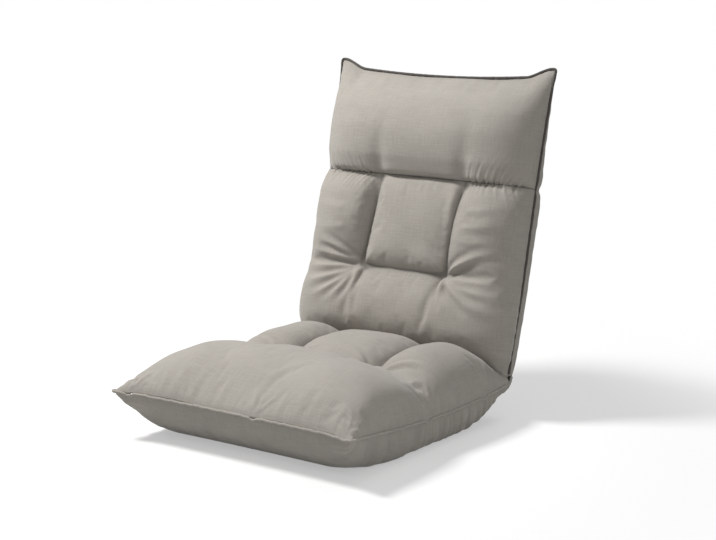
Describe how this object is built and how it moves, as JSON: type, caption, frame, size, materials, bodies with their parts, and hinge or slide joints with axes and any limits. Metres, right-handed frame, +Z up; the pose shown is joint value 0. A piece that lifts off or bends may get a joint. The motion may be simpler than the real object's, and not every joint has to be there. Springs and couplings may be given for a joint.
{
  "type": "folding floor chair",
  "caption": "Legless folding floor chair with a tufted seat cushion, a reclining padded back and a head section that tilts forward on click hinges.",
  "frame": {"origin": "on the floor, under the middle of the flat patch on which the seat stands, in the mid plane", "axes": "+Z up, +Y from the front of the seat towards the back, +X to the right as seen from the front"},
  "size_m": [0.5778, 0.7272, 0.6945],
  "materials": {
    "cushion_fabric": "soft woven linen look, warm light grey",
    "piping_cord": "dark charcoal corded edge",
    "grip_cloth": "black dotted grip cloth",
    "foam": "open foam",
    "elastic": "ribbed elastic band",
    "frame_paint": "black powder coat",
    "hinge_steel": "zinc plated",
    "rivet_steel": "zinc plated",
    "spring_steel": "blued spring steel",
    "zip_tape": "woven zip tape",
    "zip_metal": "dull nickel"
  },
  "bodies": {
    "seat": {"seat_base_pad": "cushion_fabric", "seat_bolster": "cushion_fabric", "seat_case_rivets": "rivet_steel", "seat_edge_welt": "cushion_fabric", "seat_elastic_bands": "elastic", "seat_foam_core": "foam", "seat_frame_rivets": "rivet_steel", "seat_frame_tube": "frame_paint", "seat_grip_cloth": "grip_cloth", "seat_hinge_inner_plate_left": "hinge_steel", "seat_hinge_inner_plate_right": "hinge_steel", "seat_hinge_outer_plate_left": "hinge_steel", "seat_hinge_outer_plate_right": "hinge_steel", "seat_middle_cross_tube": "frame_paint", "seat_pawl_spring_left": "spring_steel", "seat_pawl_spring_right": "spring_steel", "seat_pivot_rivets": "rivet_steel", "seat_rear_cross_tube": "frame_paint", "seat_rear_quilt": "cushion_fabric", "hinge_fold_cloth": "cushion_fabric"},
    "back": {"back_edge_piping": "piping_cord", "back_elastic_bands": "elastic", "back_foam_core": "foam", "back_frame_rivets": "rivet_steel", "back_lower_cross_tube": "frame_paint", "back_lumbar_quilt": "cushion_fabric", "back_rear_pad": "cushion_fabric", "back_side_rail_left": "frame_paint", "back_side_rail_right": "frame_paint", "back_upper_cross_tube": "frame_paint", "back_upper_quilt": "cushion_fabric", "seat_toothed_arm_left": "hinge_steel", "seat_toothed_arm_right": "hinge_steel", "zip_tape": "zip_tape", "head_case_rivets": "rivet_steel", "head_hinge_inner_plate_left": "hinge_steel", "head_hinge_inner_plate_right": "hinge_steel", "head_hinge_outer_plate_left": "hinge_steel", "head_hinge_outer_plate_right": "hinge_steel", "head_pawl_spring_left": "spring_steel", "head_pawl_spring_right": "spring_steel", "head_pivot_rivets": "rivet_steel"},
    "head_section": {"head_frame_tube": "frame_paint", "head_foam_core": "foam", "head_rear_pad": "cushion_fabric", "head_quilt": "cushion_fabric", "head_edge_piping": "piping_cord", "head_frame_rivets": "rivet_steel", "head_toothed_arm_left": "hinge_steel", "head_toothed_arm_right": "hinge_steel"},
    "zip_pull": {"zip_slider": "zip_metal"},
    "seat_right_pawl": {"seat_pawl_right": "hinge_steel"},
    "seat_left_pawl": {"seat_pawl_left": "hinge_steel"},
    "head_right_pawl": {"head_pawl_right": "hinge_steel"},
    "head_left_pawl": {"head_pawl_left": "hinge_steel"}
  },
  "joints": [
    {"name": "back_recline", "type": "hinge", "parent": "seat", "child": "back", "pos_m": [0, 0.285, 0.085], "axis": [-1, 0, 0], "range_deg": [-80.8, 79.2], "deforming": ["seat_rear_quilt", "back_lumbar_quilt", "back_upper_quilt", "hinge_fold_cloth"]},
    {"name": "head_tilt", "type": "hinge", "parent": "back", "child": "head_section", "pos_m": [0, 0.37168, 0.45601], "axis": [1, 0, 0], "range_deg": [0, 36], "deforming": ["head_quilt"]},
    {"name": "seat_pawl_right_turn", "type": "hinge", "parent": "seat", "child": "seat_right_pawl", "pos_m": [0, 0.2528, 0.07777], "axis": [1, 0, 0], "range_deg": [0, 6.5]},
    {"name": "seat_pawl_left_turn", "type": "hinge", "parent": "seat", "child": "seat_left_pawl", "pos_m": [0, 0.2528, 0.07777], "axis": [1, 0, 0], "range_deg": [0, 6.5]},
    {"name": "head_pawl_right_turn", "type": "hinge", "parent": "back", "child": "head_right_pawl", "pos_m": [0, 0.37274, 0.42303], "axis": [1, 0, 0], "range_deg": [0, 6.5]},
    {"name": "head_pawl_left_turn", "type": "hinge", "parent": "back", "child": "head_left_pawl", "pos_m": [0, 0.37274, 0.42303], "axis": [1, 0, 0], "range_deg": [0, 6.5]},
    {"name": "zip_slide", "type": "slide", "parent": "back", "child": "zip_pull", "axis": [-1, 0, 0], "range_m": [0, 0.38]}
  ],
  "couplings": [
    {"joint": "seat_pawl_left_turn", "follows": "seat_pawl_right_turn", "ratio": 1},
    {"joint": "head_pawl_left_turn", "follows": "head_pawl_right_turn", "ratio": 1}
  ]
}
